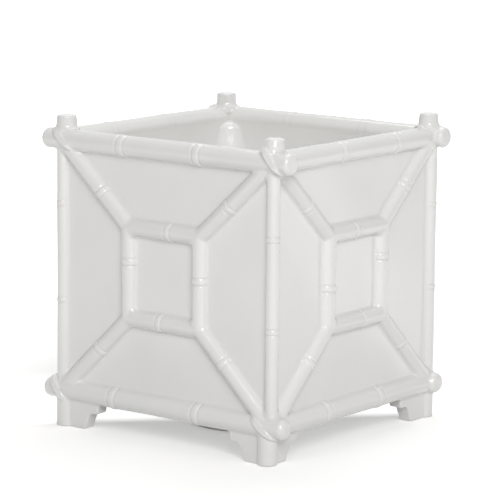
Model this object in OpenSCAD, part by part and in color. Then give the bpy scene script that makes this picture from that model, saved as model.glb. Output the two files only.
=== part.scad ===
// Square planter of white glazed earthenware, dressed as a bamboo frame.
// Slabs make the box. Round poles frame it, half-round strips make the lattice on each wall,
// and every piece is formed on its own and luted to its neighbours with slip.
// Millimetres, +Z up. The origin is on the ground, under the middle of the planter.
// The front wall faces -Y and the right wall faces +X.

/* [Frame of poles] */
// Distance between the axes of neighbouring corner posts
post_spacing = 255; // [220:1:400]
// Height from the axis of the bottom rails to the axis of the top rails
rail_rise = 246; // [200:1:400]
// Diameter of the top and bottom rails
rail_d = 20; // [18:0.5:26]
// Diameter of the corner posts
post_d = 12.5; // [9:0.5:16]
// How far the front and back rails run past the post axes, to the tips of their domed ends
end_reach = 22; // [20:0.5:40]
// Rounding of the domed rail ends
end_round = 7; // [3:0.5:8.5]

/* [Joint marks on the poles] */
// Distance between the two grooves of a joint mark on a rail
mark_w = 8.5; // [5:0.5:12]
// Swelling of a rail at a joint mark, added to its radius
mark_swell = 0.9; // [0.3:0.1:1.5]
// Depth of the grooves on each side of the ring
mark_groove = 1.1; // [0.3:0.1:1.5]

/* [Walls and floor] */
// Thickness of the four walls
wall_t = 9.5; // [6:0.5:12]
// Thickness of the floor slab
floor_t = 10; // [6:0.5:16]
// Height of the floor's upper side above the axis of the bottom rails
floor_rise = 6; // [2:0.5:10]
// Radius of the cove in each inner corner
cove_r = 22; // [8:1:40]

/* [Lattice on each wall] */
// Width of the half-round strips of the centre square
strip_w = 16; // [10:0.5:20]
// Width of the half-round diagonals
diagonal_w = 15.4; // [9.4:0.5:19.4]
// Width of the centre square, between the middles of its strips
square_w = 86; // [60:1:120]
// Height of the centre square, between the middles of its strips
square_h = 88; // [60:1:120]
// Height of the square's middle above the middle between the rails
square_lift = 2; // [-8:0.5:8]

/* [Finials] */
// Height of a finial's top above the axis of the top rails
finial_h = 23.5; // [18:0.5:40]
// How far a finial's axis stands in from the post axis, along the front
finial_in_x = 1.5; // [0:0.5:3]
// How far a finial's axis stands in from the post axis, from front to back
finial_in_y = 3.5; // [0:0.5:4]
// Diameter of a finial just under its rounded top
finial_top_d = 16.5; // [12:0.5:20]
// Diameter of a finial just above its collar
finial_base_d = 19.5; // [16:0.5:24]
// Diameter of the collar on the rails
collar_d = 25; // [22:0.5:32]
// Rounding of the finial's top edge
finial_round = 3; // [1:0.5:5]
// Height of the collar's flare above the top of the rails
collar_h = 5; // [3:0.5:7]
// Height of the collar's edge above the top of the rails
collar_edge = 1.5; // [0.5:0.5:2.5]

/* [Feet and foot ring] */
// Height from the ground to the axis of the bottom rails
foot_h = 35.5; // [30:0.5:60]
// Length of a foot at its shoulder, from the post axis
foot_reach = 46.5; // [38:0.5:60]
// Length of a foot on the ground, from the post axis
foot_toe = 28; // [18:0.5:32]
// Height of the shoulder's underside above the ground
shoulder_z = 16.5; // [12:0.5:20]
// How much longer a foot is at the knee under its shoulder than on the ground
foot_flare = 5; // [2:0.5:6]
// Rounding of the shoulder's nose
foot_nose = 3; // [1:0.5:4]
// Radius of the hollow between the shoulder and the toe
foot_hollow = 3.5; // [2:0.5:5]
// How far a foot's front or back leg stands out past the post axis
foot_front = 5; // [3:0.5:8]
// How far its side leg stands out past the post axis
foot_side = 2.5; // [1:0.5:5]
// Thickness of a foot's two legs
foot_t = 14; // [11:0.5:20]
// Diameter of the round corner that stands proud of both legs
foot_corner_d = 19; // [16:0.5:24]
// How far the round corner's axis is in from the post axis, along the front
foot_corner_in = 3.5; // [2:0.5:5]
// How far the round corner's axis is out from the post axis, to the front
foot_corner_out = 0.5; // [0:0.5:2]
// Outer diameter of the ring under the floor
ring_d = 122; // [80:1:160]
// Thickness of the ring
ring_t = 10; // [6:0.5:16]
// Gap between the ring and the ground, so that the planter stands on its feet alone
ring_gap = 1.5; // [1:0.5:6]

/* [Lashings] */
// Width of the raised lashing over each corner joint
lash_w = 7; // [4:0.5:10]
// Length of the lashing, from tip to tip
lash_len = 35; // [28:0.5:40]
// How far the lashing stands out in front of the rail
lash_proud = 2; // [1:0.5:4]
// Slope of the lashing
lash_slope = 49; // [40:1:55]

/* [Hidden] */
half = post_spacing / 2;
rail_r = rail_d / 2;
low_z = foot_h;
top_z = foot_h + rail_rise;
mid_z = (low_z + top_z) / 2;
inner = half - wall_t;
floor_z = low_z + floor_rise;
square_z = mid_z + square_lift;
square_top = square_z + square_h / 2;
square_low = square_z - square_h / 2;
through_len = post_spacing + 2 * end_reach;
// Overlap that lets one cut run clean through a face
cut = 1;
// Overlap of two cuts that meet along a mitre
seam = 0.05;

// Places of the joint marks, measured from the middle of each pole and strip
top_marks = [[-50, 42.5], [-27, 61]];
low_marks = [[-60, 43], [-47, 38]];
post_marks = [[-34, 61], [-33, 52.5], [-26.5, 56], [-33, 55]];
// Along a diagonal the mark is measured from the corner of the frame
diagonal_marks = [[70, 67, 68, 76], [67, 66, 74, 70]];
// Top, bottom, left and right strip of the square
square_marks = [[7, -3, 11, 2], [-3, 11.5, -6, 13.5]];

glaze = [0.93, 0.93, 0.92];
glaze_shade = [0.86, 0.86, 0.85];
inside_glaze = [0.82, 0.82, 0.81];

// One joint mark on a pole of diameter d: a ring between two grooves, on a slight swelling.
// The mark scales with the pole, so a thinner pole has a finer one.
function mark_profile(at, d) =
    let (k = d / rail_d)
    let (w = mark_w * k)
    let (s = mark_swell * k)
    let (dip = s - mark_groove * k)
    let (shape = [[-1.4, 0], [-0.8, 0.5 * s], [-0.62, 0.8 * s], [-0.5, dip], [-0.38, 0.9 * s], [0, s],
                  [0.38, 0.9 * s], [0.5, dip], [0.62, 0.8 * s], [0.8, 0.5 * s], [1.4, 0]])
    [for (p = shape) [d / 2 + p[1], at + p[0] * w]];

// Rounded end of a pole: an arc from the end face to the full radius, from bottom to top
function end_arc(r, e) = [for (a = [0:15:90]) [r - e + e * sin(a), e - e * cos(a)]];
function far_arc(r, e, len) = [for (a = [90:-15:0]) [r - e + e * sin(a), len - e + e * cos(a)]];

// A pole along +Z with its joint marks. A rounding of 0 leaves its ends square.
module pole(len, d, marks, e = 0) {
    r = d / 2;
    near = e > 0 ? end_arc(r, e) : [[r, 0]];
    far = e > 0 ? far_arc(r, e, len) : [[r, len]];
    ringed = [for (m = marks) each mark_profile(m, d)];
    rotate_extrude($fn = 64)
        polygon(concat([[0, 0]], near, ringed, far, [[0, len]]));
}

// Turns what is made for the front, where x runs left to right and -Y is outwards, to one of the faces
module on_face(turn) {
    rotate([0, 0, turn])
        translate([0, -half, 0])
            children();
}

// A pole lying along a face at height z, centred, as long as given
module lying_pole(z, len, d, marks, e = 0) {
    placed = [for (m = marks) m + len / 2];
    translate([-len / 2, 0, z])
        rotate([0, 90, 0])
            pole(len, d, placed, e);
}

// Plain cores, used to cut whatever meets a pole
module rail_core(z) {
    translate([-half - end_reach, 0, z])
        rotate([0, 90, 0])
            cylinder(h = through_len, d = rail_d, $fn = 64);
}
module through_cores() {
    for (turn = [0, 180], z = [low_z, top_z])
        on_face(turn)
            rail_core(z);
}
module side_cores() {
    for (turn = [90, 270], z = [low_z, top_z])
        on_face(turn)
            translate([-half, 0, z])
                rotate([0, 90, 0])
                    cylinder(h = post_spacing, d = rail_d, $fn = 64);
}
module post_cores() {
    for (x = [-half, half], y = [-half, half])
        translate([x, y, low_z])
            cylinder(h = rail_rise, d = post_d, $fn = 64);
}

module wall(turn, len) {
    color(glaze_shade)
        difference() {
            on_face(turn)
                translate([-len / 2, 0, low_z])
                    cube([len, wall_t, rail_rise]);
            through_cores();
            side_cores();
            post_cores();
        }
}

// The four coves, from the level of the bottom rails up. They stand in the floor's cut corners.
module coves() {
    c = inner - cove_r;
    for (x = [-1, 1], y = [-1, 1])
        difference() {
            translate([x > 0 ? c : -inner, y > 0 ? c : -inner, low_z])
                cube([cove_r, cove_r, rail_rise]);
            translate([x * c, y * c, low_z - cut])
                cylinder(h = rail_rise + 2 * cut, r = cove_r, $fn = 96);
        }
}

module floor_slab() {
    lap = wall_t / 3;
    color(inside_glaze)
        difference() {
            translate([-inner - lap, -inner - lap, floor_z - floor_t])
                cube([2 * (inner + lap), 2 * (inner + lap), floor_t]);
            through_cores();
            side_cores();
            coves();
            for (turn = [0:90:270])
                on_face(turn)
                    translate([-half, 0, low_z])
                        cube([post_spacing, wall_t, rail_rise]);
        }
}

module foot_ring() {
    ring_h = floor_z - floor_t - ring_gap;
    e = ring_t / 4;
    r = ring_d / 2;
    lip = [for (a = [0:15:90]) [r - e + e * sin(a), e - e * cos(a)]];
    inner_lip = [for (a = [90:-15:0]) [r - ring_t + e - e * sin(a), e - e * cos(a)]];
    color(glaze)
        translate([0, 0, ring_gap])
            rotate_extrude($fn = 96)
                polygon(concat(inner_lip, lip, [[r, ring_h], [r - ring_t, ring_h]]));
}

module corner_coves() {
    color(inside_glaze)
        difference() {
            coves();
            through_cores();
            side_cores();
        }
}

module post(x, y, marks) {
    placed = [for (m = marks) m + rail_rise / 2];
    color(glaze)
        difference() {
            translate([x * half, y * half, low_z])
                pole(rail_rise, post_d, placed);
            through_cores();
            side_cores();
        }
}

// Front and back rails run through the corners and end in domes
module through_rail(turn, z, marks) {
    color(glaze)
        on_face(turn)
            lying_pole(z, through_len, rail_d, marks, end_round);
}

// Side rails are coped to the through rails
module side_rail(turn, z, marks) {
    color(glaze)
        difference() {
            on_face(turn)
                lying_pole(z, post_spacing, rail_d, marks);
            through_cores();
        }
}

// Turned stump: rounded top, slow taper, short flare into the collar that sits on the rails
module finial_body() {
    e = finial_round;
    top_r = finial_top_d / 2;
    base_r = finial_base_d / 2;
    collar_r = collar_d / 2;
    neck_z = rail_r + collar_h;
    edge_z = rail_r + collar_edge;
    seat_z = rail_r / 2;
    top_edge = [for (a = [90:-15:0]) [top_r - e + e * sin(a), finial_h - e + e * cos(a)]];
    flare = [for (a = [0:15:90]) [collar_r - (collar_r - base_r) * sin(a), neck_z - (neck_z - edge_z) * cos(a)]];
    rotate_extrude($fn = 64)
        polygon(concat([[0, seat_z], [collar_r, seat_z]], flare, top_edge, [[0, finial_h]]));
}
module finial_at(x, y) {
    translate([x * (half - finial_in_x), y * (half - finial_in_y), top_z])
        finial_body();
}
module finial(x, y) {
    color(glaze)
        difference() {
            finial_at(x, y);
            through_cores();
            side_cores();
        }
}

// Side view of one leg of a foot, from the post axis outwards: shoulder, ogee step, tapering toe
module foot_outline() {
    nose = foot_nose;
    hollow = foot_hollow;
    knee = foot_toe + foot_flare;
    difference() {
        union() {
            polygon([[0, 0], [foot_toe, 0], [knee, shoulder_z - hollow], [knee, shoulder_z],
                     [foot_reach - nose, shoulder_z], [foot_reach - nose, low_z], [0, low_z]]);
            translate([foot_reach - nose, shoulder_z + nose])
                circle(r = nose, $fn = 48);
            translate([foot_reach - nose - cut, shoulder_z + nose])
                square([nose + cut, low_z - shoulder_z - nose]);
            translate([knee, shoulder_z - hollow])
                square([hollow, hollow]);
        }
        translate([knee + hollow, shoulder_z - hollow])
            circle(r = hollow, $fn = 48);
    }
}
module foot_leg(out) {
    translate([0, foot_t - out, 0])
        rotate([90, 0, 0])
            linear_extrude(height = foot_t)
                foot_outline();
}
// A foot for the front left corner, with the post axis at its origin
module foot_body() {
    foot_leg(foot_front);
    mirror([1, -1, 0])
        foot_leg(foot_side);
    translate([foot_corner_in, -foot_corner_out, 0])
        cylinder(h = low_z, d = foot_corner_d, $fn = 64);
}
module foot_at(x, y) {
    translate([x * half, y * half, 0])
        mirror([x > 0 ? 1 : 0, 0, 0])
            mirror([0, y > 0 ? 1 : 0, 0])
                foot_body();
}
module foot(x, y) {
    color(glaze)
        difference() {
            foot_at(x, y);
            through_cores();
            side_cores();
            floor_slab();
        }
}

// A half-round strip on a wall's outer face, from p to q, with one joint mark
module strip(p, q, d, mark) {
    run = norm(q - p);
    lean = atan2(q[0] - p[0], q[1] - p[1]);
    translate([p[0], 0, p[1]])
        rotate([0, lean, 0])
            intersection() {
                pole(run, d, [mark]);
                translate([-d, -d, -cut])
                    cube([2 * d, d, run + 2 * cut]);
            }
}
module strip_core(p, q) {
    translate([p[0], 0, p[1]])
        rotate([0, atan2(q[0] - p[0], q[1] - p[1]), 0])
            cylinder(h = norm(q - p), d = strip_w, $fn = 64);
}

// The strips of the centre square are mitred at 45 degrees.
// Ends of a strip's middle line: 0 top, 1 bottom, 2 left, 3 right.
function square_ends(i) =
    let (u = square_w / 2 + strip_w)
    let (low = square_low - strip_w)
    let (high = square_top + strip_w)
    i == 0 ? [[-u, square_top], [u, square_top]] :
    i == 1 ? [[-u, square_low], [u, square_low]] :
    i == 2 ? [[-square_w / 2, low], [-square_w / 2, high]] :
             [[square_w / 2, low], [square_w / 2, high]];
// Mitred field of a strip, seen from the front, and how far it laps over its neighbours' fields
function mitre_field(i, lap = 0) =
    let (m = i < 2 ? lap : 0)
    let (n = i < 2 ? 0 : lap)
    let (a = square_w / 2 + strip_w)
    let (b = square_w / 2 - strip_w)
    let (c = square_top + strip_w)
    let (d = square_top - strip_w)
    let (e = square_low + strip_w)
    let (f = square_low - strip_w)
    i == 0 ? [[-a - m, c], [a + m, c], [b + m, d], [-b - m, d]] :
    i == 1 ? [[-a - m, f], [a + m, f], [b + m, e], [-b - m, e]] :
    i == 2 ? [[-a, f - n], [-a, c + n], [-b, d + n], [-b, e - n]] :
             [[a, f - n], [a, c + n], [b, d + n], [b, e - n]];
module mitre_block(i, lap = 0) {
    rotate([90, 0, 0])
        linear_extrude(height = strip_w)
            polygon(mitre_field(i, lap));
}

module square_strip(turn, i, mark) {
    ends = square_ends(i);
    color(glaze)
        on_face(turn)
            intersection() {
                strip(ends[0], ends[1], strip_w, norm(ends[1] - ends[0]) / 2 + mark);
                mitre_block(i);
            }
}

// A diagonal runs from a corner of the frame to the nearest corner of the square
module diagonal(turn, side, level, mark) {
    corner = [side * half, level > 0 ? top_z : low_z];
    knuckle = [side * square_w / 2, level > 0 ? square_top : square_low];
    color(glaze)
        difference() {
            on_face(turn)
                difference() {
                    strip(corner, knuckle, diagonal_w, mark);
                    for (i = [level > 0 ? 0 : 1, side < 0 ? 2 : 3])
                        intersection() {
                            strip_core(square_ends(i)[0], square_ends(i)[1]);
                            mitre_block(i, seam);
                        }
                }
            through_cores();
            side_cores();
            post_cores();
            lashings();
        }
}

// A lashing is a flat band with rounded ends, laid slantwise over a corner joint from outside
module lash_band() {
    e = rail_r + lash_proud;
    flat = lash_len / 2 - e;
    rotate([0, lash_slope, 0])
        translate([0, 0, -lash_w / 2])
            linear_extrude(height = lash_w)
                intersection() {
                    union() {
                        translate([-flat, -e])
                            square([2 * flat, e]);
                        for (x = [-flat, flat])
                            translate([x, 0])
                                circle(r = e, $fn = 64);
                    }
                    translate([-lash_len, -2 * e])
                        square([2 * lash_len, 2 * e]);
                }
}
module lashings() {
    for (flip = [0, 1], x = [-half, half], z = [low_z, top_z])
        mirror([0, flip, 0])
            translate([x, -half, z])
                lash_band();
}
module corner_lashings() {
    color(glaze)
        difference() {
            lashings();
            through_cores();
            side_cores();
            post_cores();
            for (x = [-1, 1], y = [-1, 1]) {
                foot_at(x, y);
                finial_at(x, y);
            }
        }
}

floor_slab();
foot_ring();
wall(0, post_spacing);  // front_wall
wall(90, 2 * inner);  // right_wall
wall(180, post_spacing);  // back_wall
wall(270, 2 * inner);  // left_wall

post(-1, -1, post_marks[0]);  // post_front_left
post(1, -1, post_marks[1]);  // post_front_right
post(1, 1, post_marks[2]);  // post_back_right
post(-1, 1, post_marks[3]);  // post_back_left

through_rail(0, low_z, low_marks[0]);  // bottom_rail_front
side_rail(90, low_z, low_marks[1]);  // bottom_rail_right
through_rail(180, low_z, low_marks[0]);  // bottom_rail_back
side_rail(270, low_z, low_marks[1]);  // bottom_rail_left
through_rail(0, top_z, top_marks[0]);  // top_rail_front
side_rail(90, top_z, top_marks[1]);  // top_rail_right
through_rail(180, top_z, top_marks[0]);  // top_rail_back
side_rail(270, top_z, top_marks[1]);  // top_rail_left

finial(-1, -1);  // finial_front_left
finial(1, -1);  // finial_front_right
finial(1, 1);  // finial_back_right
finial(-1, 1);  // finial_back_left

foot(-1, -1);  // foot_front_left
foot(1, -1);  // foot_front_right
foot(1, 1);  // foot_back_right
foot(-1, 1);  // foot_back_left

diagonal(0, -1, 1, diagonal_marks[0][0]);  // front_diagonal_upper_left
diagonal(0, 1, 1, diagonal_marks[0][1]);  // front_diagonal_upper_right
diagonal(0, -1, -1, diagonal_marks[0][2]);  // front_diagonal_lower_left
diagonal(0, 1, -1, diagonal_marks[0][3]);  // front_diagonal_lower_right
diagonal(90, -1, 1, diagonal_marks[1][0]);  // right_diagonal_upper_left
diagonal(90, 1, 1, diagonal_marks[1][1]);  // right_diagonal_upper_right
diagonal(90, -1, -1, diagonal_marks[1][2]);  // right_diagonal_lower_left
diagonal(90, 1, -1, diagonal_marks[1][3]);  // right_diagonal_lower_right
diagonal(180, -1, 1, diagonal_marks[0][0]);  // back_diagonal_upper_left
diagonal(180, 1, 1, diagonal_marks[0][1]);  // back_diagonal_upper_right
diagonal(180, -1, -1, diagonal_marks[0][2]);  // back_diagonal_lower_left
diagonal(180, 1, -1, diagonal_marks[0][3]);  // back_diagonal_lower_right
diagonal(270, -1, 1, diagonal_marks[1][0]);  // left_diagonal_upper_left
diagonal(270, 1, 1, diagonal_marks[1][1]);  // left_diagonal_upper_right
diagonal(270, -1, -1, diagonal_marks[1][2]);  // left_diagonal_lower_left
diagonal(270, 1, -1, diagonal_marks[1][3]);  // left_diagonal_lower_right

square_strip(0, 0, square_marks[0][0]);  // front_square_top
square_strip(0, 1, square_marks[0][1]);  // front_square_bottom
square_strip(0, 2, square_marks[0][2]);  // front_square_left
square_strip(0, 3, square_marks[0][3]);  // front_square_right
square_strip(90, 0, square_marks[1][0]);  // right_square_top
square_strip(90, 1, square_marks[1][1]);  // right_square_bottom
square_strip(90, 2, square_marks[1][2]);  // right_square_left
square_strip(90, 3, square_marks[1][3]);  // right_square_right
square_strip(180, 0, square_marks[0][0]);  // back_square_top
square_strip(180, 1, square_marks[0][1]);  // back_square_bottom
square_strip(180, 2, square_marks[0][2]);  // back_square_left
square_strip(180, 3, square_marks[0][3]);  // back_square_right
square_strip(270, 0, square_marks[1][0]);  // left_square_top
square_strip(270, 1, square_marks[1][1]);  // left_square_bottom
square_strip(270, 2, square_marks[1][2]);  // left_square_left
square_strip(270, 3, square_marks[1][3]);  // left_square_right

corner_lashings();
corner_coves();
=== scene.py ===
# Square planter of white glazed earthenware, dressed as a bamboo frame.
# Four slabs and a floor make the box. Poles, strips, stumps, lashings and feet are luted on with
# slip, and one coat of glossy white glaze covers the whole piece and rounds its joints.
import math

import bpy
import numpy as np
from mathutils import Matrix, Vector


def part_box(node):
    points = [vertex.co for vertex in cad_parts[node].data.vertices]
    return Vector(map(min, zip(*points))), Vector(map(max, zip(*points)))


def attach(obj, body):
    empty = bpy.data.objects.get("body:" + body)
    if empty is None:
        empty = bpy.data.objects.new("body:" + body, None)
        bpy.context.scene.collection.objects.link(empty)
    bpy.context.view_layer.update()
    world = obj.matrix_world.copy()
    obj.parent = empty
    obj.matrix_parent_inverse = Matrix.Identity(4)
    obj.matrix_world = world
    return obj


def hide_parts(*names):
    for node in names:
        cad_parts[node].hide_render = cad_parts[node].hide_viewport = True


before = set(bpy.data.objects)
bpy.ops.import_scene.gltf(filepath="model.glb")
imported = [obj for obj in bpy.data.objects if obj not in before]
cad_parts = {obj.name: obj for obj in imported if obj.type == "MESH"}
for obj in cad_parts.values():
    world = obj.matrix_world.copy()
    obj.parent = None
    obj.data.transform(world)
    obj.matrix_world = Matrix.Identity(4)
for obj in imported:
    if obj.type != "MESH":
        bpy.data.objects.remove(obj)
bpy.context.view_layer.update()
collection = bpy.context.scene.collection

# The view. The planter is seen over its front right corner from a little above, through a long
# lens, so its verticals stay almost parallel. Lengths in metres, angles in degrees.
view_azimuth = 37.753
view_elevation = 10.094
view_roll = 0.54
view_distance = 2.6265
view_lens = 193.1
aim_above = 0.0118
aim_right = 0.00196

top_rail_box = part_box("top_rail_front")
low_rail_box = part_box("bottom_rail_front")
rails_middle = (top_rail_box[0].z + top_rail_box[1].z + low_rail_box[0].z + low_rail_box[1].z) / 4


def facing(back, roll):
    """Camera axes for a camera that looks along -back, with its horizon turned by roll."""
    right = Vector((0, 0, 1)).cross(back).normalized()
    up = back.cross(right)
    turned_right = right * math.cos(roll) + up * math.sin(roll)
    turned_up = up * math.cos(roll) - right * math.sin(roll)
    return turned_right, turned_up


azimuth = math.radians(view_azimuth)
elevation = math.radians(view_elevation)
middle = Vector((0, 0, rails_middle))
away = Vector((
    math.sin(azimuth) * math.cos(elevation),
    -math.cos(azimuth) * math.cos(elevation),
    math.sin(elevation),
))
first_right, first_up = facing(away, 0)
aim = middle + first_up * aim_above + first_right * aim_right
eye = middle + away * view_distance
away = (eye - aim).normalized()
right, up = facing(away, math.radians(view_roll))
camera_data = bpy.data.cameras.new("view")
camera_data.lens = view_lens
camera_data.sensor_width = 36
camera = bpy.data.objects.new("view", camera_data)
turn = Matrix((right, up, away)).transposed()
camera.matrix_world = Matrix.Translation(eye) @ turn.to_4x4()
collection.objects.link(camera)
bpy.context.scene.camera = camera

# Glaze. A thick opaque white, glossy and a little uneven: it varies at random between white and a
# thinner pure white, and pools warmer and deeper in the joints and grooves. Inside the box its colour is
# whiter: painted light for the brighter lit inside.
# Brush and slab marks leave long shallow waves that show only in the reflections.
glaze_white = (0.86, 0.86, 0.85, 1)
glaze_pooled = (0.80, 0.805, 0.775, 1)
glaze_thin = (0.885, 0.88, 0.87, 1)
glaze_inside_painted_light = (0.95, 0.95, 0.935, 1)
painted_light_inside_edge = (0.1200, 0.1175)
painted_light_inside_floor = (0.036, 0.040)
glaze_roughness = (0.10, 0.17)
glaze_gloss = {"IOR": 1.52, "Coat Weight": 0.35, "Coat Roughness": 0.04, "Coat IOR": 1.5}
gloss_noise = (55, 4)
mottle_noise = (14, 3)
mottle_edge = (0.35, 0.65)
wave_noise = (26, 1)
wave_depth = 0.00035
pinhole_noise = (420, 2)
pinhole_depth = 0.00004


def steps_of(tree):
    """Functions that add a node of any kind, or a sum, to a tree and fill its open inputs in order."""

    def step(kind, *values, **settings):
        item = tree.nodes.new(kind)
        for key, value in settings.items():
            setattr(item, key, value)
        for socket, value in zip([s for s in item.inputs if s.enabled], values):
            if isinstance(value, bpy.types.NodeSocket):
                tree.links.new(value, socket)
            elif value is not None:
                socket.default_value = value
        return item.outputs

    def calc(operation, *values):
        return step("ShaderNodeMath", *values, operation=operation)[0]

    return step, calc


def cleared(owner):
    """The emptied node tree of a material or a world, and the functions that add to it."""
    owner.use_nodes = True
    owner.node_tree.nodes.clear()
    return owner.node_tree, *steps_of(owner.node_tree)


def glaze_material(name):
    """White glaze on Object coordinates, with the pooling that the luted pieces carry."""
    material = bpy.data.materials.new(name)
    tree, step, calc = cleared(material)
    place = step("ShaderNodeTexCoord")["Object"]

    def noise(scale, detail):
        return step("ShaderNodeTexNoise", place, scale, detail)["Fac"]

    def blend(share, first, second):
        outputs = step("ShaderNodeMix", share, first, second, data_type="RGBA")
        return [s for s in outputs if s.enabled][0]

    def ramp(value, *edges):
        return step("ShaderNodeMapRange", value, *edges)[0]

    mottled = blend(ramp(noise(*mottle_noise), *mottle_edge), glaze_white, glaze_thin)
    split = step("ShaderNodeSeparateXYZ", place)
    sideways = calc("MAXIMUM", *(calc("ABSOLUTE", split[axis]) for axis in ("X", "Y")))
    # Painted light: inside the box, above the floor, the glaze colour is made whiter to stand for the
    # inside being lit brighter.
    inside = calc("MULTIPLY", ramp(sideways, *painted_light_inside_edge), ramp(split["Z"], *painted_light_inside_floor))
    mottled = blend(inside, mottled, glaze_inside_painted_light)
    pool = step("ShaderNodeAttribute", attribute_name="pool")["Fac"]
    colour = blend(pool, mottled, glaze_pooled)
    roughness = ramp(noise(*gloss_noise), 0.0, 1.0, *glaze_roughness)

    normal = None
    for size, depth in ((wave_noise, wave_depth), (pinhole_noise, pinhole_depth)):
        bump = tree.nodes.new("ShaderNodeBump")
        bump.inputs["Strength"].default_value = 1
        bump.inputs["Distance"].default_value = depth
        tree.links.new(noise(*size), bump.inputs["Height"])
        if normal:
            tree.links.new(normal, bump.inputs["Normal"])
        normal = bump.outputs["Normal"]

    surface = tree.nodes.new("ShaderNodeBsdfPrincipled")
    for socket, value in glaze_gloss.items():
        surface.inputs[socket].default_value = value
    for socket, value in (("Base Color", colour), ("Roughness", roughness), ("Normal", normal)):
        tree.links.new(value, surface.inputs[socket])
    output = tree.nodes.new("ShaderNodeOutputMaterial")
    tree.links.new(surface.outputs["BSDF"], output.inputs["Surface"])
    return material


glaze = glaze_material("white_glaze")

# Luting. Each piece is a distance field, in millimetres. Where two meet at an angle, slip fills the
# corner between them, and where one runs on from another it adds nothing. A skin follows the joined
# surface over its own ground and dips just past it, so each piece stays a separate closed solid.
MM = 0.001
lap = 0.9
dip_rate = 1.5
bed_sharpness = 1.5
box_reach = 8.0
far_off = 50.0
least_slip = 0.05
cast_tries = 14
cast_start = 3.6
cast_reach = 9.0
cast_stride = 0.9
cast_halvings = 8
pool_depth = 0.6
pool_most = 0.8
luted = []


def box_mm(node):
    """Lowest and highest corner of a CAD node, in millimetres."""
    low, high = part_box(node)
    return np.array(low) / MM, np.array(high) / MM


def smooth_min(a, b, width):
    """The smaller of two distances, rounded where they cross."""
    return np.minimum(a, b) - np.maximum(width - np.abs(a - b), 0) ** 2 / (4 * width)


def smooth_max(a, b, width):
    """The larger of two distances, rounded where they cross."""
    return -smooth_min(-a, -b, width)


def unit(vectors):
    """Vectors with their length made one."""
    return vectors / np.maximum(np.linalg.norm(vectors, axis=1, keepdims=True), 1e-9)


def slope(field, points, step=0.06):
    """Unit direction in which a field grows."""
    corners = np.array([(1, -1, -1), (-1, -1, 1), (-1, 1, -1), (1, 1, 1)], float)
    return unit(sum(c * field(points + c * step)[:, None] for c in corners))


class Luted:
    """A piece that is luted to the rest: its name, its box, and the width of its slip."""

    def __init__(self, name, low, high, slip):
        self.name = name
        self.low = np.array(low, float)
        self.high = np.array(high, float)
        self.slip = slip
        luted.append(self)

    def near(self):
        """The pieces whose skins this one can touch, itself among them, in the order of making."""
        low, high = self.low - box_reach, self.high + box_reach
        return [p for p in luted if np.all(p.low < high) and np.all(p.high > low)]

    def away(self, points):
        """Direction away from the piece."""
        return slope(self.distance, points)

    def bed(self, points):
        """Width of the slip at each point."""
        return np.full(len(points), self.slip)

    def ending(self, points):
        """How much the piece gives up of the ground past its own end."""
        return 0.0


def join(pieces, points):
    """Distance to all the pieces with the slip between them, and to the nearest of them bare."""
    count = len(points)
    joined = np.full(count, far_off)
    nearest = np.full(count, far_off)
    lean = np.zeros((count, 3))
    slip = np.zeros(count)
    for piece in pieces:
        close = (points > piece.low - box_reach) & (points < piece.high + box_reach)
        at = np.flatnonzero(close.all(axis=1))
        if not len(at):
            continue
        here = points[at]
        apart, away, bed = piece.distance(here), piece.away(here), piece.bed(here)
        corner = 1 - (lean[at] * away).sum(axis=1)
        width = np.minimum(slip[at], bed) * np.clip(bed_sharpness * corner, 0, 1)
        width = np.maximum(width, least_slip)
        share = np.clip(0.5 + 0.5 * (apart - joined[at]) / width, 0, 1)
        joined[at] = smooth_min(joined[at], apart, width)
        lean[at] = unit(away + (lean[at] - away) * share[:, None])
        slip[at] = bed + (slip[at] - bed) * share
        nearest[at] = np.minimum(nearest[at], apart)
    return joined, nearest


def own_skin(piece, pieces, points):
    """Field of one piece: the joined surface over its own ground, dipping just past it."""
    joined, nearest = join(pieces, points)
    claim = piece.distance(points) + piece.ending(points)
    return joined + dip_rate * np.maximum(claim - nearest - lap, 0)


def cast_to_skin(piece, pieces, origins, directions):
    """Points where rays from inside a piece leave its skin."""
    far = np.zeros(len(origins))
    for _ in range(cast_tries):
        far = far - piece.distance(origins + directions * far[:, None])
    inside = np.maximum(far - cast_start, 0)
    outside = inside + cast_reach
    waiting = np.arange(len(origins))
    start = inside.copy()
    for gone in np.arange(cast_stride, cast_reach, cast_stride):
        at = start[waiting] + gone
        out = own_skin(piece, pieces, origins[waiting] + directions[waiting] * at[:, None]) > 0
        outside[waiting[out]] = at[out]
        inside[waiting] = np.where(out, at - cast_stride, at)
        waiting = waiting[~out]
        if not len(waiting):
            break
    for _ in range(cast_halvings):
        at = (inside + outside) / 2
        out = own_skin(piece, pieces, origins + directions * at[:, None]) > 0
        outside = np.where(out, at, outside)
        inside = np.where(out, inside, at)
    return origins + directions * ((inside + outside) / 2)[:, None]


def fanned(body, swing):
    """Places along an axis and the tilt of the rays there, with a fan at each end."""
    places = np.concatenate([np.full(len(swing), body[0]), body, np.full(len(swing), body[-1])])
    return places, np.concatenate([-swing[::-1], np.zeros(len(body)), swing])


def wrapped(piece, axis, origin, tilt, ring):
    """Points and faces of a closed skin: a ring of rays from each place, and one along each end."""
    around = len(ring)
    direction = np.cos(tilt)[:, None, None] * ring + (np.sin(tilt)[:, None] * axis)[:, None, :]
    origins = np.concatenate([np.repeat(origin, around, axis=0), origin[[0]], origin[[-1]]])
    directions = np.concatenate([direction.reshape(-1, 3), -axis[None], axis[None]])
    points = cast_to_skin(piece, piece.near(), origins, directions)
    last = (len(origin) - 1) * around
    faces = []
    for i in range(0, last, around):
        for j in range(around):
            a, b = i + j, i + (j + 1) % around
            faces.append((a, b, b + around, a + around))
    for j in range(around):
        faces.append((last + around, (j + 1) % around, j))
        faces.append((last + around + 1, last + j, last + (j + 1) % around))
    return points, faces


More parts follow.
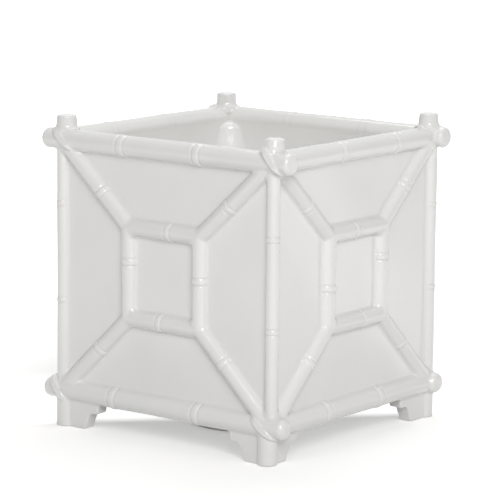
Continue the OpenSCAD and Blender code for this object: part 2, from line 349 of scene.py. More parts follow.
def luted_object(name, parts, nodes):
    """One object from the parts' points and faces, glazed, riding on the body, in place of its nodes."""
    points = np.concatenate([p["points"] for p in parts])
    normals = np.concatenate([p["normals"] for p in parts])
    pool = np.concatenate([p["pool"] for p in parts])
    faces, start = [], 0
    for p in parts:
        faces += [[i + start for i in face] for face in p["faces"]]
        start += len(p["points"])
    mesh = bpy.data.meshes.new(name)
    mesh.from_pydata((points * MM).tolist(), [], faces)
    mesh.polygons.foreach_set("use_smooth", [True] * len(faces))
    mesh.attributes.new("pool", "FLOAT", "POINT").data.foreach_set("value", pool.astype(np.float32))
    mesh.normals_split_custom_set_from_vertices(normals.tolist())
    mesh.materials.append(glaze)
    made = bpy.data.objects.new(name, mesh)
    collection.objects.link(made)
    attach(made, "root")
    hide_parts(*nodes)


def finish_points(pieces, points, faces, groove=None):
    """What luted_object needs: points, faces, shading directions, and where the glaze pools."""
    joined, nearest = join(pieces, points)
    pool = np.clip((nearest - joined) / pool_depth, 0, 1) * pool_most
    if groove is not None:
        pool = np.clip(pool + groove, 0, 1)
    normals = slope(lambda at: join(pieces, at)[0], points)
    return {"points": points, "faces": faces, "normals": normals, "pool": pool}


# Walls and floor. Slabs of clay, 9.5 mm and 10 mm thick, rolled out, cut square and luted at the
# corners. They are thrown a little out of true by drying, which shows in the gloss.
post_low, post_high = box_mm("post_front_right")
rail_low, rail_high = box_mm("top_rail_front")
half = (post_low[0] + post_high[0]) / 2
top_z = (rail_low[2] + rail_high[2]) / 2
rail_tip = rail_high[0]
rail_low, rail_high = box_mm("bottom_rail_front")
low_z = (rail_low[2] + rail_high[2]) / 2
inner = -box_mm("front_wall")[1][1]
floor_under, floor_top = (corner[2] for corner in box_mm("floor_slab"))
outer_slip = 2.8
inner_slip = 1.2
floor_slip = 4.0
slab_wave = 0.14
outer_cell = 1.05
inner_cell = 2.1
slab_tuck = 3.0
sheet_hem = 2.0
sheet_tries = 6
sheet_stride = 0.8
sheet_most = 2.5
face_turns = {"front": 0, "right": 90, "back": 180, "left": 270}


def on_face(face, across, z, out=0.0):
    """A point on a wall's outer face: across runs left to right, seen from outside."""
    turn = math.radians(face_turns[face])
    x, y = across, -half - out
    return np.array([x * math.cos(turn) - y * math.sin(turn), x * math.sin(turn) + y * math.cos(turn), z])


def waves(points):
    """How far the slabs stand out of true."""
    x, y, z = points.T
    return slab_wave * (np.sin((x + y) / 17 + z / 31) + np.sin((x - y) / 26 - z / 19 + 2))


class Walls(Luted):
    """The four walls, as one square tube between the rails."""

    def distance(self, points):
        spread = np.abs(points[:, :2]).max(axis=1)
        tube = np.maximum(spread - half, inner - spread) - waves(points)
        return np.maximum(tube, np.abs(points[:, 2] - (top_z + low_z) / 2) - (top_z - low_z) / 2)

    def away(self, points):
        size = np.abs(points[:, :2])
        lead = (size >= size.max(axis=1, keepdims=True)).astype(float)
        side = np.where(size.max(axis=1) > (half + inner) / 2, 1.0, -1.0)
        flat = lead * np.sign(points[:, :2]) * side[:, None]
        return np.column_stack([flat, np.zeros(len(points))])

    def bed(self, points):
        outside = np.abs(points[:, :2]).max(axis=1) > (half + inner) / 2
        return np.where(outside, outer_slip, inner_slip)


class Floor(Luted):
    """The floor, a slab between the walls."""

    def distance(self, points):
        spread = np.abs(points[:, :2]).max(axis=1) - inner - slab_tuck
        level = np.maximum(points[:, 2] - floor_top - waves(points), floor_under - points[:, 2])
        return np.maximum(spread, level)

    def away(self, points):
        up = np.where(points[:, 2] > (floor_top + floor_under) / 2, 1.0, -1.0)
        return np.column_stack([np.zeros((len(points), 2)), up])


def sheet_skin(piece, corner, across, up, out, size, cells):
    """A slab's face: a grid of points from its corner, raised to the skin."""
    steps = [np.linspace(0, length, count) for length, count in zip(size, cells)]
    u, v = [axis.ravel() for axis in np.meshgrid(*steps, indexing="ij")]
    ground = corner + u[:, None] * across + v[:, None] * up
    low, high = ground.min(axis=0) - box_reach, ground.max(axis=0) + box_reach
    pieces = [p for p in luted if np.all(p.low < high) and np.all(p.high > low)]
    rise = np.zeros(len(ground))
    for _ in range(sheet_tries):
        apart = own_skin(piece, pieces, ground + rise[:, None] * out)
        rise = np.clip(rise - sheet_stride * apart, -sheet_most, sheet_most)
    number = np.arange(len(ground)).reshape(cells)
    quads = np.stack([number[:-1, :-1], number[1:, :-1], number[1:, 1:], number[:-1, 1:]], axis=-1)
    edges = [number[:, 0], number[-1, :], number[::-1, -1], number[0, ::-1]]
    return ground + rise[:, None] * out, quads.reshape(-1, 4).tolist(), edges, pieces


def slab_solid(first, second):
    """A closed slab from its two faces, whose edges run the opposite way round."""
    points, faces, edges, pieces = first
    more, other_faces, other_edges, _ = second
    shift = len(points)
    faces = faces + [[i + shift for i in face] for face in other_faces]
    for number in range(4):
        near_edge = edges[number][::-1]
        far_edge = other_edges[-number][::-1] + shift
        faces.append([*near_edge.tolist(), *far_edge.tolist()])
    return finish_points(pieces, np.concatenate([points, more]), faces)


walls = Walls("walls", (-half, -half, low_z), (half, half, top_z), outer_slip)
floor = Floor("floor_slab", (-inner, -inner, floor_under), (inner, inner, floor_top), floor_slip)

# Poles. Rolled rods of clay, pressed with a tool at each joint of the bamboo: a narrow ring
# between two shallow grooves, on a slight swelling that fades out behind. The rods aren't quite
# true, as nothing rolled by hand is.
rail_radius = 10.0
rail_slip = 3.2
post_radius = 6.25
post_slip = 3.6
cut_rounding = 2.0
mark_width = 8.5
mark_swell = 0.45
mark_ring = 0.4
mark_groove = 0.62
mark_turn = 1.4
groove_half = 0.15
ring_half = 0.42
swell_half = 1.1
groove_pool = 0.35
waver_long = (0.10, 21)
waver_short = (0.06, 8.3)
tip_lap = 0.4
tip_reach = 14
tip_step = 0.8
plain_step = 1.6
fan_rays = 14


def mark_relief(along, marks, radius):
    """What the joint marks add to a pole's radius, and how deep in a groove each point lies."""
    scale = radius / rail_radius
    width = mark_width * scale
    relief = np.zeros_like(along)
    groove = np.zeros_like(along)
    for mark in marks:
        x = (along - mark) / width
        cut = np.exp(-(((np.abs(x) - 0.5) / groove_half) ** 2))
        ring = mark_ring * np.exp(-((x / ring_half) ** 4))
        swell = mark_swell * np.exp(-((x / swell_half) ** 2))
        relief += scale * (swell + ring - mark_groove * cut)
        groove += cut
    return relief, groove


class Pole(Luted):
    """A round rod from start to end, with marks at distances from its start."""

    def __init__(self, name, start, end, radius, marks, rounding, slip, seed, outward, extra=0.0, back=0.0):
        start, end = np.array(start, float), np.array(end, float)
        self.axis = (end - start) / np.linalg.norm(end - start)
        self.start = start - extra * self.axis
        self.run = np.linalg.norm(end - start) + 2 * extra
        self.extra = extra
        self.radius = radius
        self.marks = [mark + extra for mark in marks]
        self.rounding = rounding
        self.seed = seed
        self.outward = np.array(outward, float)
        self.back = back
        ends = np.stack([self.start, self.start + self.run * self.axis])
        super().__init__(name, ends.min(0) - radius, ends.max(0) + radius, slip)

    def split(self, points):
        """Distance along the axis, distance from it, and the direction from it."""
        offset = points - self.start
        along = offset @ self.axis
        radial = offset - along[:, None] * self.axis
        across = np.linalg.norm(radial, axis=1)
        return along, across, radial

    def distance(self, points):
        along, across, radial = self.split(points)
        relief, _ = mark_relief(along, self.marks, self.radius)
        front = np.clip(0.5 + mark_turn * (radial @ self.outward) / np.maximum(across, 1e-6), 0, 1)
        uneven = waver_long[0] * np.sin(along / waver_long[1] + self.seed)
        uneven = uneven + waver_short[0] * np.sin(along / waver_short[1] + 2 * self.seed)
        side = across - self.radius - relief * front - uneven + self.rounding
        ends = np.abs(along - self.run / 2) - self.run / 2 + self.rounding
        outside = np.hypot(np.maximum(side, 0), np.maximum(ends, 0))
        apart = np.minimum(np.maximum(side, ends), 0) + outside - self.rounding
        if self.back:
            apart = np.maximum(apart, half - self.back - points @ self.outward)
        return apart

    def away(self, points):
        along, _, radial = self.split(points)
        past = along - np.clip(along, self.rounding, self.run - self.rounding)
        return unit(radial + past[:, None] * self.axis)

    def ending(self, points):
        if not self.extra:
            return 0.0
        along = (points - self.start) @ self.axis
        past = np.abs(along - self.run / 2) - (self.run / 2 - self.extra) - tip_lap
        return 0.5 * np.maximum(past, 0)

    def stations(self, first, last):
        """Places along the rod, close together at marks and near its ends."""
        scale = self.radius / rail_radius
        mark_step = 0.4 * scale + 0.15
        places = [first]
        while places[-1] < last:
            at = places[-1]
            near_mark = min(abs(at - mark) for mark in self.marks) < mark_width * scale
            near_end = min(at - first, last - at) < tip_reach
            places.append(at + (mark_step if near_mark else tip_step if near_end else plain_step))
        places[-1] = last
        return np.array(places)

    def skin(self, angles, sideways, inset=0.0):
        """The rod's closed skin: rings of rays from the axis, and a fan of rays over each end."""
        tip = self.rounding + 0.5
        swing = np.radians(np.linspace(0, 90, fan_rays)[1:-1])
        along, tilt = fanned(self.stations(tip, self.run - tip), swing)
        outward = np.array(sideways, float)
        other = np.cross(self.axis, outward)
        ring = np.cos(angles)[:, None] * outward + np.sin(angles)[:, None] * other
        origin = self.start + along[:, None] * self.axis - inset * outward
        points, faces = wrapped(self, self.axis, origin, tilt, ring)
        _, groove = mark_relief((points - self.start) @ self.axis, self.marks, self.radius)
        return finish_points(self.near(), points, faces, groove_pool * groove)


# Rails. The front and back ones run through the corners and end in short domes, no two of one
# length. The side ones are coped into them. Marks are measured from a rail's middle.
top_marks = {"front": (-50, 42.5), "right": (-27, 61), "back": (-50, 42.5), "left": (-27, 61)}
low_marks = {"front": (-60, 43), "right": (-47, 38), "back": (-60, 43), "left": (-47, 38)}
top_short = {"front": (1.0, 0.0), "back": (3.8, 0.0)}
low_short = {"front": (1.5, 3.2), "back": (6.5, 0.0)}
rails = []
for level, height, marks, short_by, tip_rounding in (
    ("top", top_z, top_marks, top_short, 4.6),
    ("bottom", low_z, low_marks, low_short, 6.6),
):
    for number, face in enumerate(face_turns):
        through = face in short_by
        reach = rail_tip if through else half
        short = short_by[face] if through else (0.0, 0.0)
        rails.append(Pole(
            f"{level}_rail_{face}",
            on_face(face, -reach + short[0], height),
            on_face(face, reach - short[1], height),
            rail_radius,
            [mark + reach - short[0] for mark in marks[face]],
            tip_rounding if through else cut_rounding,
            rail_slip,
            1.3 * number + height,
            on_face(face, 0, 0, 1) - on_face(face, 0, 0),
        ))

# Corner posts. Thinner rods between the rails, their axes where the walls' faces meet.
# Marks are measured from halfway up.
post_corners = {
    "front_left": (-1, -1, (-34, 61)),
    "front_right": (1, -1, (-33, 52.5)),
    "back_right": (1, 1, (-26.5, 56)),
    "back_left": (-1, 1, (-33, 55)),
}
posts = []
for number, (corner, (x, y, marks)) in enumerate(post_corners.items()):
    posts.append(Pole(
        f"post_{corner}",
        (x * half, y * half, low_z),
        (x * half, y * half, top_z),
        post_radius,
        [mark + (top_z - low_z) / 2 for mark in marks],
        cut_rounding,
        post_slip,
        2.1 * number,
        (x / math.sqrt(2), y / math.sqrt(2), 0),
    ))

# Lattice strips. Half-round lengths cut from a rod and laid on each wall: a square in the
# middle, its corners mitred, and a diagonal from each corner of it to the corner of the frame.
# At a knuckle the three run into one another without a seam.
square_radius = 8.0
diagonal_radius = 7.7
strip_depth = 2.5
strip_slip = 5.5
square_box = box_mm("front_square_top")
square_side = square_box[1][0] - square_radius
square_top = (square_box[0][2] + square_box[1][2]) / 2
square_box = box_mm("front_square_bottom")
square_low = (square_box[0][2] + square_box[1][2]) / 2
narrow_marks = {
    "upper_left": 70, "upper_right": 67, "lower_left": 68, "lower_right": 76,
    "top": 7, "bottom": -3, "left": 11, "right": 2,
}
wide_marks = {
    "upper_left": 67, "upper_right": 66, "lower_left": 74, "lower_right": 70,
    "top": -3, "bottom": 11.5, "left": -6, "right": 13.5,
}
lattice_marks = {"front": narrow_marks, "right": wide_marks, "back": narrow_marks, "left": wide_marks}
strips = []
for number, face in enumerate(face_turns):
    marks = lattice_marks[face]
    outward = on_face(face, 0, 0, 1) - on_face(face, 0, 0)
    for level, frame_z, square_z in (("upper", top_z, square_top), ("lower", low_z, square_low)):
        for side, sign in (("left", -1), ("right", 1)):
            strips.append(Pole(
                f"{face}_diagonal_{level}_{side}",
                on_face(face, sign * half, frame_z),
                on_face(face, sign * square_side, square_z),
                diagonal_radius,
                [marks[f"{level}_{side}"]],
                diagonal_radius - 0.1,
                strip_slip,
                1.7 * number + 3 * sign + square_z,
                outward,
                diagonal_radius,
                strip_depth,
            ))
    corners = {
        "top": ((-square_side, square_top), (square_side, square_top)),
        "bottom": ((-square_side, square_low), (square_side, square_low)),
        "left": ((-square_side, square_low), (-square_side, square_top)),
        "right": ((square_side, square_low), (square_side, square_top)),
    }
    for place, (start, end) in corners.items():
        run = abs(end[0] - start[0]) + abs(end[1] - start[1])
        strips.append(Pole(
            f"{face}_square_{place}",
            on_face(face, *start),
            on_face(face, *end),
            square_radius,
            [run / 2 + marks[place]],
            square_radius - 0.1,
            strip_slip,
            number + start[0] + end[1],
            outward,
            square_radius,
            strip_depth,
        ))

# Finials. Short stumps turned on their own: a flat top with a wiped edge, a slow taper, and a
# flare into the collar over each post. Each sank in firing by a little, and has its own width at
# the top, above the collar and at it, and its own lean, to the right and to the back.
finial_shapes = {
    "front_left": (0.4, 9.3, 10.1, 12.8, (0.0, 0.0)),
    "front_right": (1.4, 8.7, 10.2, 11.5, (1.3, 1.0)),
    "back_right": (0.5, 8.9, 9.8, 12.8, (0.0, 0.0)),
    "back_left": (0.0, 9.8, 10.0, 12.8, (0.0, 0.0)),
}
finial_rounding = 1.8
collar_edge = 10.5
collar_neck = 15.5
finial_seat = 4.0
finial_slip = 4.0


class Finial(Luted):
    """A stump over a post, a little lower than its box where it sank in firing."""

    def __init__(self, name, sunk, tip, waist, collar, lean):
        low, high = box_mm(name)
        self.foot = np.array([(low[0] + high[0]) / 2, (low[1] + high[1]) / 2, top_z])
        self.top = high[2] - top_z - sunk
        self.tip, self.waist, self.collar = tip, waist, collar
        self.lean = np.array(lean)
        super().__init__(name, (low[0], low[1], top_z + finial_seat), high, finial_slip)

    def radius(self, z):
        """Radius at a height above the rail's axis."""
        taper = self.waist + (self.tip - self.waist) * (z - collar_neck) / (self.top - collar_neck)
        share = np.clip((z - collar_edge) / (collar_neck - collar_edge), 0, 1)
        flare = self.collar - (self.collar - self.waist) * np.sqrt(1 - (1 - share) ** 2)
        return np.where(z < collar_neck, flare, taper)

    def distance(self, points):
        offset = points - self.foot
        z = offset[:, 2]
        sunken = np.clip((self.top - z) / (self.top - collar_edge), 0, 1)
        across = np.linalg.norm(offset[:, :2] + sunken[:, None] * self.lean, axis=1)
        side = across - self.radius(z) + finial_rounding
        ends = np.maximum(z - self.top, finial_seat - z) + finial_rounding
        outside = np.hypot(np.maximum(side, 0), np.maximum(ends, 0))
        return np.minimum(np.maximum(side, ends), 0) + outside - finial_rounding

    def skin(self, around=72):
        """Rings of rays from the stump's axis, and a fan over each end."""
        low, waist, high = finial_seat + 4, collar_neck + 2, self.top - finial_rounding - 0.5
        body = np.concatenate([np.arange(low, waist, 0.4), np.arange(waist, high, 0.8)])
        swing = np.radians(90 * np.linspace(0, 1, 19)[1:-1] ** 1.5)
        height, tilt = fanned(body, swing)
        angles = np.linspace(0, 2 * math.pi, around, endpoint=False)
        ring = np.stack([np.cos(angles), np.sin(angles), np.zeros(around)], axis=1)
        upright = np.array([0.0, 0.0, 1.0])
        points, faces = wrapped(self, upright, self.foot + height[:, None] * upright, tilt, ring)
        return finish_points(self.near(), points, faces)


finials = [Finial(f"finial_{corner}", *shape) for corner, shape in finial_shapes.items()]

# Feet. A short round pillar under each corner post, and two brackets cut from slab that run from
# it along the rails, each with a shoulder, a hollow and a tapering toe. They were cut by hand, so
# no two are alike: each leg has its reach, its toe and the rounding of its shoulder.
leg_out = (5.0, 2.5)
leg_thickness = 14.0
pillar_radius = 9.5
pillar_in = 3.5
pillar_out = 0.5
foot_taper = 0.40
shoulder_z = 16.5
foot_hollow = 5.0
foot_edge = 1.6
foot_slip = 2.8
pillar_crease = 0.7
leg_cuts = {
    "front_left": ((48.0, 31.0, 4.0), (48.0, 29.0, 4.0)),
    "front_right": ((45.5, 27.0, 5.0), (42.0, 20.0, 14.0)),
    "back_right": ((47.0, 28.0, 4.0), (48.5, 29.5, 4.0)),
    "back_left": ((46.5, 28.0, 4.0), (46.5, 28.0, 5.0)),
}


class Foot(Luted):
    """A bracket foot under a corner: its pillar, its leg along the front or back, and its side leg."""

    def __init__(self, name, x, y, cuts):
        self.corner = np.array([x * half, y * half])
        self.inward = np.array([-x, -y], float)
        self.cuts = cuts
        proud = self.inward * (pillar_radius - pillar_in, pillar_radius + pillar_out)
        reach = self.inward * (cuts[0][0], cuts[1][0])
        ends = np.stack([self.corner - proud, self.corner + reach])
        super().__init__(name, (*ends.min(0), 0), (*ends.max(0), low_z), foot_slip)

    def distance(self, points):
        u, v = ((points[:, :2] - self.corner) * self.inward).T
        z = points[:, 2]
        lean = math.hypot(1, foot_taper)
        legs = []
        for along, across, out, (reach, toe, nose) in zip((u, v), (v, u), leg_out, self.cuts):
            tapered = (along - toe - foot_taper * z) / lean
            shoulder = smooth_max(along - reach, shoulder_z - z, nose)
            slab = np.abs(across + out - leg_thickness / 2) - leg_thickness / 2
            leg = smooth_max(slab, smooth_min(tapered, shoulder, foot_hollow), foot_edge)
            legs.append(np.maximum(leg, -along))
        pillar = np.hypot(u - pillar_in, v + pillar_out) - pillar_radius
        foot = smooth_min(np.minimum(*legs), pillar, pillar_crease)
        return np.maximum(smooth_max(foot, -z, foot_edge), z - low_z)


feet = [Foot(f"foot_{corner}", x, y, leg_cuts[corner]) for corner, (x, y, _) in post_corners.items()]

# Lashings. A strap of clay laid slantwise over each corner joint of the front and back, down to
# the right as seen from the front. It is thickest along its lower edge and narrows to its tail.
# Each lies by hand: so far right and up of its corner, and at so many degrees.
lash_width = 6.4
lash_length = 36.0
lash_proud = 2.0
lash_lays = {
    ("high", -1): (6.0, 1.0, 40),
    ("high", 1): (2.8, 3.2, 50),
    ("low", -1): (0.0, 0.0, 51),
    ("low", 1): (-5.0, 0.0, 36),
}
lash_bevel = 0.75
lash_narrowing = (0.3, 0.55)
lash_edge = 0.8
lash_back = 0.5
lash_back_edge = 1.0
lash_slip = 1.1


class Lashing(Luted):
    """A strap over a corner joint."""

    def __init__(self, name, x, y, z, lay):
        aside, above, degrees = lay
        self.centre = np.array([x * half + aside, y * half, z + above])
        self.slant = math.radians(degrees)
        self.flip = y
        reach = lash_length / 2
        outer = self.centre + (0, y * (rail_radius + lash_proud), 0)
        ends = np.stack([self.centre, outer])
        low = ends.min(0) - (reach, 1, reach)
        high = ends.max(0) + (reach, 1, reach)
        super().__init__(name, low, high, lash_slip)

    def distance(self, points):
        offset = points - self.centre
        out = offset[:, 1] * self.flip
        along = offset[:, 0] * math.cos(self.slant) - offset[:, 2] * math.sin(self.slant)
        across = offset[:, 0] * math.sin(self.slant) + offset[:, 2] * math.cos(self.slant)
        radius = rail_radius + lash_proud
        flat = lash_length / 2 - radius
        bevel = lash_proud * lash_bevel * np.clip(0.5 + across / lash_width, 0, 1)
        stadium = np.hypot(np.maximum(np.abs(along) - flat, 0), out) - radius + bevel
        narrowing = np.where(along < 0, lash_narrowing[0], lash_narrowing[1])
        tail = 1 - narrowing * np.clip(2 * np.abs(along) / lash_length, 0, 1)
        strap = smooth_max(stadium, np.abs(across) - tail * lash_width / 2, lash_edge)
        return smooth_max(strap, -out - lash_back, lash_back_edge)


lashings = []
for y in (-1, 1):
    for x in (-1, 1):
        for level, z in (("low", low_z), ("high", top_z)):
            lashings.append(Lashing(f"lashing_{level}_{x}_{y}", x, y, z, lash_lays[level, x]))

# Nets. Feet and lashings have no axis to cast rays from, so a net is laid around each of them, cell
# by cell, and drawn onto its skin.
net_margin = 6.0
net_near = 5.0
net_tries = 6
net_stride = 0.9
net_most = 1.2
foot_cell = 0.9
lash_cell = 0.7


def net(piece, cell):
    """Closed skin of a piece that has no axis: one vertex in each small cell that the skin crosses."""
    pieces = piece.near()
    low = piece.low - net_margin
    counts = np.ceil((piece.high + net_margin - low) / cell).astype(int) + 1
    axes = [low[a] + cell * np.arange(counts[a]) for a in range(3)]
    grid = np.stack(np.meshgrid(*axes, indexing="ij"), axis=-1).reshape(-1, 3)
    inside = np.zeros(len(grid), bool)
    close = np.abs(piece.distance(grid)) < net_near
    inside[~close] = piece.distance(grid[~close]) < 0
    inside[close] = own_skin(piece, pieces, grid[close]) < 0
    inside = inside.reshape(counts)
    filled = sum(
        inside[i:counts[0] - 1 + i, j:counts[1] - 1 + j, k:counts[2] - 1 + k].astype(int)
        for i in (0, 1) for j in (0, 1) for k in (0, 1)
    )
    crossed = (filled > 0) & (filled < 8)
    number = np.full(crossed.shape, -1)
    number[crossed] = np.arange(crossed.sum())
    points = low + cell * (np.argwhere(crossed) + 0.5)
    faces = []
    for axis in range(3):
        u, v = [np.eye(3, dtype=int)[(axis + k) % 3] for k in (1, 2)]
        first = np.moveaxis(inside, axis, 0)[:-1]
        second = np.moveaxis(inside, axis, 0)[1:]
        change = np.moveaxis(first != second, 0, axis)
        edges = np.argwhere(change)
        leaving = np.moveaxis(first, 0, axis)[tuple(edges.T)]
        ring = [number[tuple((edges - a * u - b * v).T)] for a, b in ((1, 1), (0, 1), (0, 0), (1, 0))]
        quads = np.stack(ring, axis=1)
        quads[~leaving] = quads[~leaving][:, ::-1]
        faces += quads.tolist()

    def field(at):
        return own_skin(piece, pieces, at)

    home = points.copy()
    for _ in range(net_tries):
        apart = np.clip(field(points), -cell, cell)
        points = points - slope(field, points) * apart[:, None] * net_stride
        points = home + np.clip(points - home, -net_most * cell, net_most * cell)
    return finish_points(pieces, points, faces)


# Coves. A coil of clay is pressed into each inner corner and drawn down with the thumb, so that it
# closes to a shoulder between the rails and spreads as it goes down. One is shaped and set in all
# four corners.
cove_width = 31.0
cove_narrowing = 0.6
cove_spread = 38.0
cove_shoulder = 6.0
cove_peak = 0.15
cove_below_axis = 4.0
cove_seat = 3.0
cove_tuck = 2.5
cove_dip = 1.025
cove_cells = (25, 2, 90)
cove_turns = {(-1, -1): 0, (1, -1): 90, (1, 1): 180, (-1, 1): 270}


def node_tree(name, sizes):
    """A Geometry Nodes tree with named sizes, what it is given, and the functions that add to it."""
    tree = bpy.data.node_groups.new(name, "GeometryNodeTree")
    tree.interface.new_socket("Geometry", in_out="INPUT", socket_type="NodeSocketGeometry")
    for size in sizes:
        tree.interface.new_socket(size, in_out="INPUT", socket_type="NodeSocketFloat")
    tree.interface.new_socket("Glaze", in_out="INPUT", socket_type="NodeSocketMaterial")
    tree.interface.new_socket("Geometry", in_out="OUTPUT", socket_type="NodeSocketGeometry")
    return tree, tree.nodes.new("NodeGroupInput").outputs, *steps_of(tree)


def finished(tree, given, step, geometry):
    """Ends a tree: real, smooth and glazed."""
    smooth = step("GeometryNodeSetShadeSmooth", step("GeometryNodeRealizeInstances", geometry)[0])[0]
    glazed = step("GeometryNodeSetMaterial", smooth, None, given["Glaze"])[0]
    tree.links.new(glazed, tree.nodes.new("NodeGroupOutput").inputs[0])


def grown(node, tree, sizes, points, turns):
    """A glazed piece in place of a node: what a tree makes of turned points, as a plain mesh."""
    name = f"{node}_glazed"
    mesh = bpy.data.meshes.new(name)
    mesh.from_pydata(points, [], [])
    mesh.attributes.new("turn", "FLOAT", "POINT").data.foreach_set("value", np.radians(turns))
    made = bpy.data.objects.new(name, mesh)
    collection.objects.link(made)
    modifier = made.modifiers.new(name, "NODES")
    modifier.node_group = tree
    sizes = {**sizes, "Glaze": glaze}
    for item in tree.interface.items_tree:
        if item.in_out == "INPUT" and item.name in sizes:
            modifier[item.identifier] = sizes[item.name]
    evaluated = made.evaluated_get(bpy.context.evaluated_depsgraph_get())
    plain = bpy.data.meshes.new_from_object(evaluated)
    made.modifiers.remove(modifier)
    made.data = plain
    plain.name = name
    if plain.materials[0] is None:
        plain.materials.pop(index=0)
    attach(made, "root")
    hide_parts(node)


cove_foot = floor_top - cove_seat
cove_sizes = {
    "Height": (top_z - cove_below_axis - cove_foot) * MM,
    "Width": cove_width * MM,
    "Narrowing": cove_narrowing,
    "Spread": cove_spread * MM,
    "Shoulder": cove_shoulder * MM,
    "Tuck": cove_tuck * MM,
}
tree, given, step, calc = node_tree("cove", cove_sizes)
block = step("GeometryNodeMeshCube", (1, 1, 1), *cove_cells)
across, depth, climb = step("ShaderNodeSeparateXYZ", step("GeometryNodeInputPosition")[0])
across = calc("ADD", across, 0.5)
depth = calc("SUBTRACT", 0.5, depth)
height = calc("MULTIPLY", calc("ADD", climb, 0.5), given["Height"])
below = calc("SUBTRACT", given["Height"], height)
share = step(
    "ShaderNodeMapRange", below, 0.0, given["Spread"], given["Narrowing"], 1.0,
    interpolation_type="SMOOTHSTEP",
)[0]
closing = step("ShaderNodeMapRange", below, 0.0, given["Shoulder"], 0.0, 1.0)[0]
closing = calc("MAXIMUM", calc("SINE", calc("MULTIPLY", closing, math.pi / 2)), cove_peak)
width = calc("MULTIPLY", calc("MULTIPLY", given["Width"], share), closing)
arm = calc("ADD", width, given["Tuck"])
hollow = calc("MULTIPLY", width, cove_dip)
swing = calc("MULTIPLY", across, math.pi / 2)
sides = []
for turned, start in (("SINE", calc("SUBTRACT", 1.0, calc("MULTIPLY", across, 2.0))),
                      ("COSINE", calc("SUBTRACT", calc("MULTIPLY", across, 2.0), 1.0))):
    in_wall = calc("SUBTRACT", calc("MULTIPLY", arm, calc("MAXIMUM", start, 0.0)), given["Tuck"])
    in_room = calc("SUBTRACT", width, calc("MULTIPLY", hollow, calc(turned, swing)))
    sides.append(calc("ADD", in_wall, calc("MULTIPLY", depth, calc("SUBTRACT", in_room, in_wall))))
place = step("ShaderNodeCombineXYZ", *sides, height)[0]
cove = step("GeometryNodeSetPosition", block[0], None, place)[0]
turn = step("GeometryNodeInputNamedAttribute", "turn", data_type="FLOAT")[0]
turn = step("FunctionNodeEulerToRotation", step("ShaderNodeCombineXYZ", 0.0, 0.0, turn)[0])[0]
corners = step("GeometryNodeInstanceOnPoints", given["Geometry"], None, cove, None, None, turn)[0]
finished(tree, given, step, corners)
cove_places = [(x * inner * MM, y * inner * MM, cove_foot * MM) for x, y in cove_turns]
grown("corner_coves", tree, cove_sizes, cove_places, list(cove_turns.values()))

# Foot ring. A low ring thrown on the wheel and luted under the floor, its edges wiped round with
# a wet sponge. It stops short of the ground, so the planter stands on its feet.
ring_low, ring_high = box_mm("foot_ring")
ring_thickness = 10.0
ring_rounding = 2.5
ring_waver = 0.3
ring_waver_size = 18.0
ring_seat = 1.0
ring_steps = 160
ring_edge_steps = 7
ring_sizes = {
    "Radius": (ring_high[0] - ring_thickness / 2) * MM,
    "Thickness": ring_thickness * MM,
    "Height": (ring_high[2] + ring_seat - ring_low[2]) * MM,
    "Rounding": ring_rounding * MM,
    "Middle": (ring_high[2] + ring_seat + ring_low[2]) / 2 * MM,
    "Waver": ring_waver * MM,
}
tree, given, step, calc = node_tree("foot_ring", ring_sizes)
path = step("GeometryNodeCurvePrimitiveCircle", ring_steps, given["Radius"])[0]
section = step("GeometryNodeCurvePrimitiveQuadrilateral", given["Thickness"], given["Height"])[0]
section = step("GeometryNodeFilletCurve", section, ring_edge_steps, given["Rounding"], True, mode="POLY")[0]
ring = step("GeometryNodeCurveToMesh", path, section)[0]
place = step("GeometryNodeInputPosition")[0]
waver = step("ShaderNodeTexNoise", place, ring_waver_size, 1.0)[0]
waver = calc("MULTIPLY", calc("SUBTRACT", waver, 0.5), given["Waver"])
outward = step("ShaderNodeVectorMath", place, operation="NORMALIZE")[0]
shift = step("ShaderNodeVectorMath", outward, waver, operation="SCALE")[0]
raised = step("ShaderNodeCombineXYZ", 0.0, 0.0, given["Middle"])[0]
shift = step("ShaderNodeVectorMath", shift, raised, operation="ADD")[0]
finished(tree, given, step, step("GeometryNodeSetPosition", ring, None, None, shift)[0])
grown("foot_ring", tree, ring_sizes, [(0, 0, 0)], [0])

# Glazing. With every piece in place, each skin is drawn out of the joined fields.
full_turn = np.linspace(0, 2 * math.pi, 96, endpoint=False)
post_turn = np.linspace(0, 2 * math.pi, 64, endpoint=False)
strip_turn = np.radians(np.concatenate([np.linspace(-102, 102, 45), np.linspace(102, 258, 9)[1:-1]]))
upright = np.array([0.0, 0.0, 1.0])
low_edge, high_edge = low_z + sheet_hem, top_z - sheet_hem
for face in face_turns:
    ahead = on_face(face, 1, 0) - on_face(face, 0, 0)
    outward = on_face(face, 0, 0, 1) - on_face(face, 0, 0)
    side = half - sheet_hem
    size = (2 * side, high_edge - low_edge)
    cells = tuple(int(length / outer_cell) + 1 for length in size)
    outer_sheet = sheet_skin(walls, on_face(face, -side, low_edge), ahead, upright, outward, size, cells)
    side = inner + slab_tuck
    size = (2 * side, high_edge - low_edge)
    cells = tuple(int(length / inner_cell) + 1 for length in size)
    start = on_face(face, side, low_edge, inner - half)
    inner_sheet = sheet_skin(walls, start, -ahead, upright, -outward, size, cells)
    luted_object(f"{face}_wall_glazed", [slab_solid(outer_sheet, inner_sheet)], [f"{face}_wall"])
side = inner + slab_tuck
size = (2 * side, 2 * side)
cells = tuple(int(length / inner_cell) + 1 for length in size)
ahead, deep = np.array([1.0, 0.0, 0.0]), np.array([0.0, 1.0, 0.0])
upper_sheet = sheet_skin(floor, np.array([-side, -side, floor_top]), ahead, deep, upright, size, cells)
lower_sheet = sheet_skin(floor, np.array([side, -side, floor_under]), -ahead, deep, -upright, size, cells)
luted_object("floor_slab_glazed", [slab_solid(upper_sheet, lower_sheet)], ["floor_slab"])
for rail in rails:
    luted_object(f"{rail.name}_glazed", [rail.skin(full_turn, upright)], [rail.name])
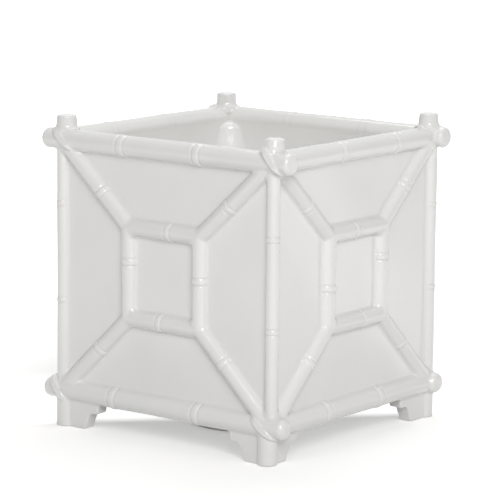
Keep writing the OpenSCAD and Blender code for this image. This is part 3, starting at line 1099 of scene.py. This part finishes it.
for post in posts:
    luted_object(f"{post.name}_glazed", [post.skin(post_turn, ahead)], [post.name])
for strip in strips:
    luted_object(f"{strip.name}_glazed", [strip.skin(strip_turn, strip.outward, inset=1.0)], [strip.name])
for finial in finials:
    luted_object(f"{finial.name}_glazed", [finial.skin()], [finial.name])
for foot in feet:
    luted_object(f"{foot.name}_glazed", [net(foot, foot_cell)], [foot.name])
straps = [net(lashing, lash_cell) for lashing in lashings]
luted_object("corner_lashings_glazed", straps, ["corner_lashings"])

# Stage. A white table that melts into a white background, and plain soft studio light. The eye,
# and what the gloss mirrors, see the white of it, and the planter is lit at a plain level. Under
# the planter's far half the table carries a band of painted light, which washes out the planter's shadow
# there, so that the rails stand against white.
table_half = 6
table_drop = 0.0003
table_white = (0.9, 0.9, 0.9, 1)
table_lift = (0.38, 1.1)
table_fade = (0.28, 0.85)
far_painted_light = 0.5
painted_light_start = (0.0, -0.03)
painted_light_end = (-0.34, -0.10)
room_light = 0.26
room_colour = (1, 1, 0.95, 1)


def shown_only(seen_by_eye, lighting):
    """One shader for camera, mirror and see-through rays, and another that lights the planter."""
    path = step("ShaderNodeLightPath")
    seen = calc("MAXIMUM", path["Is Camera Ray"], path["Is Glossy Ray"])
    seen = calc("MAXIMUM", seen, path["Is Transmission Ray"])
    return step("ShaderNodeMixShader", seen, lighting, seen_by_eye)[0]


def lifted(value, edges, levels):
    """A level that goes from the first to the second between two edges."""
    return step("ShaderNodeMapRange", value, *edges, *levels)[0]


table_corners = [(x * table_half, y * table_half, 0) for x, y in ((-1, -1), (1, -1), (1, 1), (-1, 1))]
table_mesh = bpy.data.meshes.new("table")
table_mesh.from_pydata(table_corners, [], [(0, 1, 2, 3)])
table = bpy.data.objects.new("table", table_mesh)
table.location.z = -table_drop
collection.objects.link(table)
table_material = bpy.data.materials.new("table_white")
tree, step, calc = cleared(table_material)
on_table = step("ShaderNodeTexCoord")["Object"]
toward_eye = (1.0, -1.0, 0.0)
reach = step("ShaderNodeVectorMath", on_table, operation="LENGTH")["Value"]
near = step("ShaderNodeVectorMath", on_table, toward_eye, operation="DOT_PRODUCT")["Value"]
# Painted light: a band of extra glow on the table under the planter's far half, which washes out the shadow
# there.
painted_light_band = calc("MULTIPLY", lifted(near, painted_light_start, (0.0, far_painted_light)), lifted(near, painted_light_end, (0.0, 1.0)))
level = calc("ADD", lifted(reach, table_fade, table_lift), painted_light_band)
matt = step("ShaderNodeBsdfDiffuse", table_white)[0]
both = step("ShaderNodeAddShader", matt, step("ShaderNodeEmission", None, level)[0])[0]
output = tree.nodes.new("ShaderNodeOutputMaterial")
tree.links.new(shown_only(both, matt), output.inputs["Surface"])
table_mesh.materials.append(table_material)

world = bpy.data.worlds.new("studio")
bpy.context.scene.world = world
tree, step, calc = cleared(world)
light = step("ShaderNodeBackground", room_colour, room_light)[0]
backdrop = step("ShaderNodeBackground", (1, 1, 1, 1), 1.0)[0]
output = tree.nodes.new("ShaderNodeOutputWorld")
tree.links.new(shown_only(backdrop, light), output.inputs["Surface"])


def softbox(name, place, size, power, colour=(1, 1, 1)):
    """An area lamp that faces the middle of the planter."""
    lamp = bpy.data.lights.new(name, "AREA")
    lamp.shape = "RECTANGLE"
    lamp.size, lamp.size_y = size
    lamp.energy = power
    lamp.color = colour
    item = bpy.data.objects.new(name, lamp)
    place = Vector(place)
    item.location = place
    item.rotation_euler = (place - middle).to_track_quat("Z", "Y").to_euler()
    collection.objects.link(item)


softbox("key", (1.9, -1.85, 1.6), (1.2, 1.2), 40, (1, 0.985, 1))
softbox("top", (-0.3, 0.5, 1.8), (1.2, 1.2), 10)
softbox("spark", (1.1, -1.5, 2.1), (0.2, 0.2), 1.2)

bpy.context.scene.view_settings.view_transform = "Standard"
